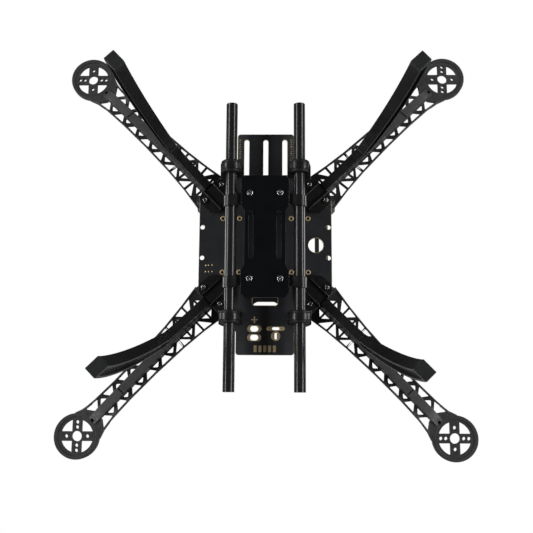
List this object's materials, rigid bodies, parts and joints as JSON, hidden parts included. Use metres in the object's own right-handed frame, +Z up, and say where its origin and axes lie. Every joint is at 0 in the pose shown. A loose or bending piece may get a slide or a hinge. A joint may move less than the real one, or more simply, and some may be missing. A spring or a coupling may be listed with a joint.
{
  "type": "quadcopter airframe kit",
  "caption": "X-layout quadcopter airframe: two plates, upswept lattice arms with motor rings, curved landing legs, payload rails and a sliding battery tray.",
  "frame": {"origin": "on the ground under the middle of the airframe, which stands on its four legs", "axes": "+Z up, +Y towards the slotted nose of the lower plate, +X to the right of the airframe"},
  "size_m": [0.3804, 0.3804, 0.17],
  "materials": {
    "board": "black solder mask, satin, with a tan laminate edge",
    "gold": "gold plated copper",
    "arm_nylon": "charcoal moulded glass filled nylon",
    "leg_nylon": "black satin moulded nylon",
    "foot_rubber": "matt black rubber",
    "carbon_tube": "satin black carbon tube",
    "fitting_plastic": "black moulded plastic",
    "ring_rubber": "black rubber",
    "tray_laminate": "black laminate",
    "steel": "bright steel",
    "black_steel": "blackened steel",
    "brass": "turned brass"
  },
  "bodies": {
    "airframe": {"lower_plate": "board", "upper_plate": "board", "gold_pads": "gold", "arm_front_right": "arm_nylon", "leg_front_right": "leg_nylon", "foot_pad_front_right": "foot_rubber", "arm_front_left": "arm_nylon", "leg_front_left": "leg_nylon", "foot_pad_front_left": "foot_rubber", "arm_rear_left": "arm_nylon", "leg_rear_left": "leg_nylon", "foot_pad_rear_left": "foot_rubber", "arm_rear_right": "arm_nylon", "leg_rear_right": "leg_nylon", "foot_pad_rear_right": "foot_rubber", "rail_hanger_front_left": "fitting_plastic", "rubber_ring_front_left": "ring_rubber", "rail_hanger_rear_left": "fitting_plastic", "rubber_ring_rear_left": "ring_rubber", "rail_hanger_front_right": "fitting_plastic", "rubber_ring_front_right": "ring_rubber", "rail_hanger_rear_right": "fitting_plastic", "rubber_ring_rear_right": "ring_rubber", "leg_screws": "steel", "upper_plate_screws": "black_steel", "hanger_screws": "black_steel", "hanger_nuts": "steel", "lower_inserts": "brass", "upper_inserts": "brass"},
    "left_rail": {"rail_left": "carbon_tube"},
    "right_rail": {"rail_right": "carbon_tube"},
    "tray_carriage": {"tray_clamp_front_left": "fitting_plastic", "tray_clamp_rear_left": "fitting_plastic", "tray_clamp_front_right": "fitting_plastic", "tray_clamp_rear_right": "fitting_plastic", "battery_tray": "tray_laminate", "tray_screws": "steel", "tray_nuts": "steel"}
  },
  "joints": [
    {"name": "left_rail_slide", "type": "slide", "parent": "airframe", "child": "left_rail", "axis": [0, 1, 0], "range_m": [-0.045, 0.045]},
    {"name": "right_rail_slide", "type": "slide", "parent": "airframe", "child": "right_rail", "axis": [0, 1, 0], "range_m": [-0.045, 0.045]},
    {"name": "battery_tray_slide", "type": "slide", "parent": "airframe", "child": "tray_carriage", "axis": [0, 1, 0], "range_m": [-0.017, 0.017]}
  ]
}
